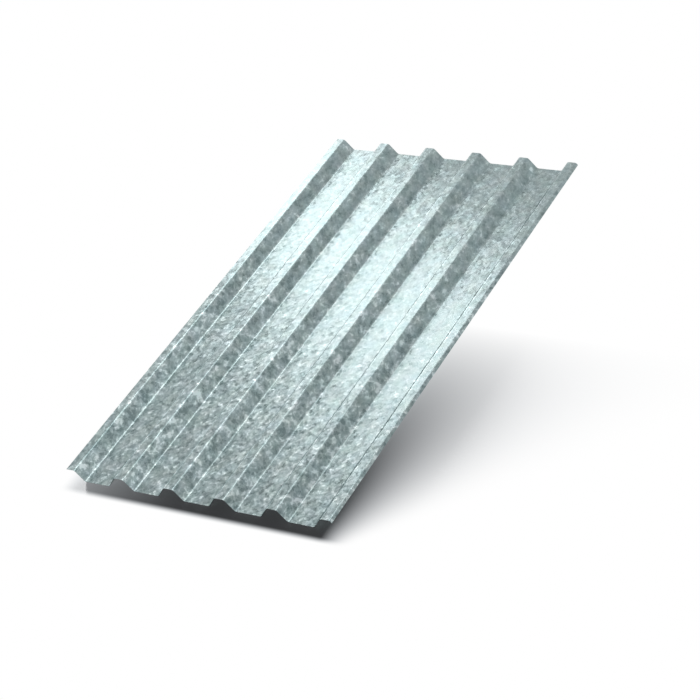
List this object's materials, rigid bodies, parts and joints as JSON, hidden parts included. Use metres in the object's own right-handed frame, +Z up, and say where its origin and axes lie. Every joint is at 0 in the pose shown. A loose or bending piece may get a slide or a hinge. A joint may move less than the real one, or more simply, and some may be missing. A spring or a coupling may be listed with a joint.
{
  "type": "corrugated metal sheet",
  "caption": "Galvanised steel cladding sheet with straight trapezoidal ribs, lying on its wide flat valleys, with a lap flange along each long edge, one of them ending in a turned-down lip.",
  "frame": {"origin": "middle of the sheet's base: halfway across the overall width, halfway along the length, on the floor under the valleys", "axes": "+X across the cover width, from the underlap edge to the overlap edge; +Y along the ribs; +Z up, out of the weather face"},
  "size_m": [1.0358, 2, 0.044],
  "materials": {
    "zinc_coating": "hot-dip zinc with crystal spangle, semi-bright"
  },
  "bodies": {
    "root": {"profiled_sheet": "zinc_coating"}
  },
  "joints": []
}
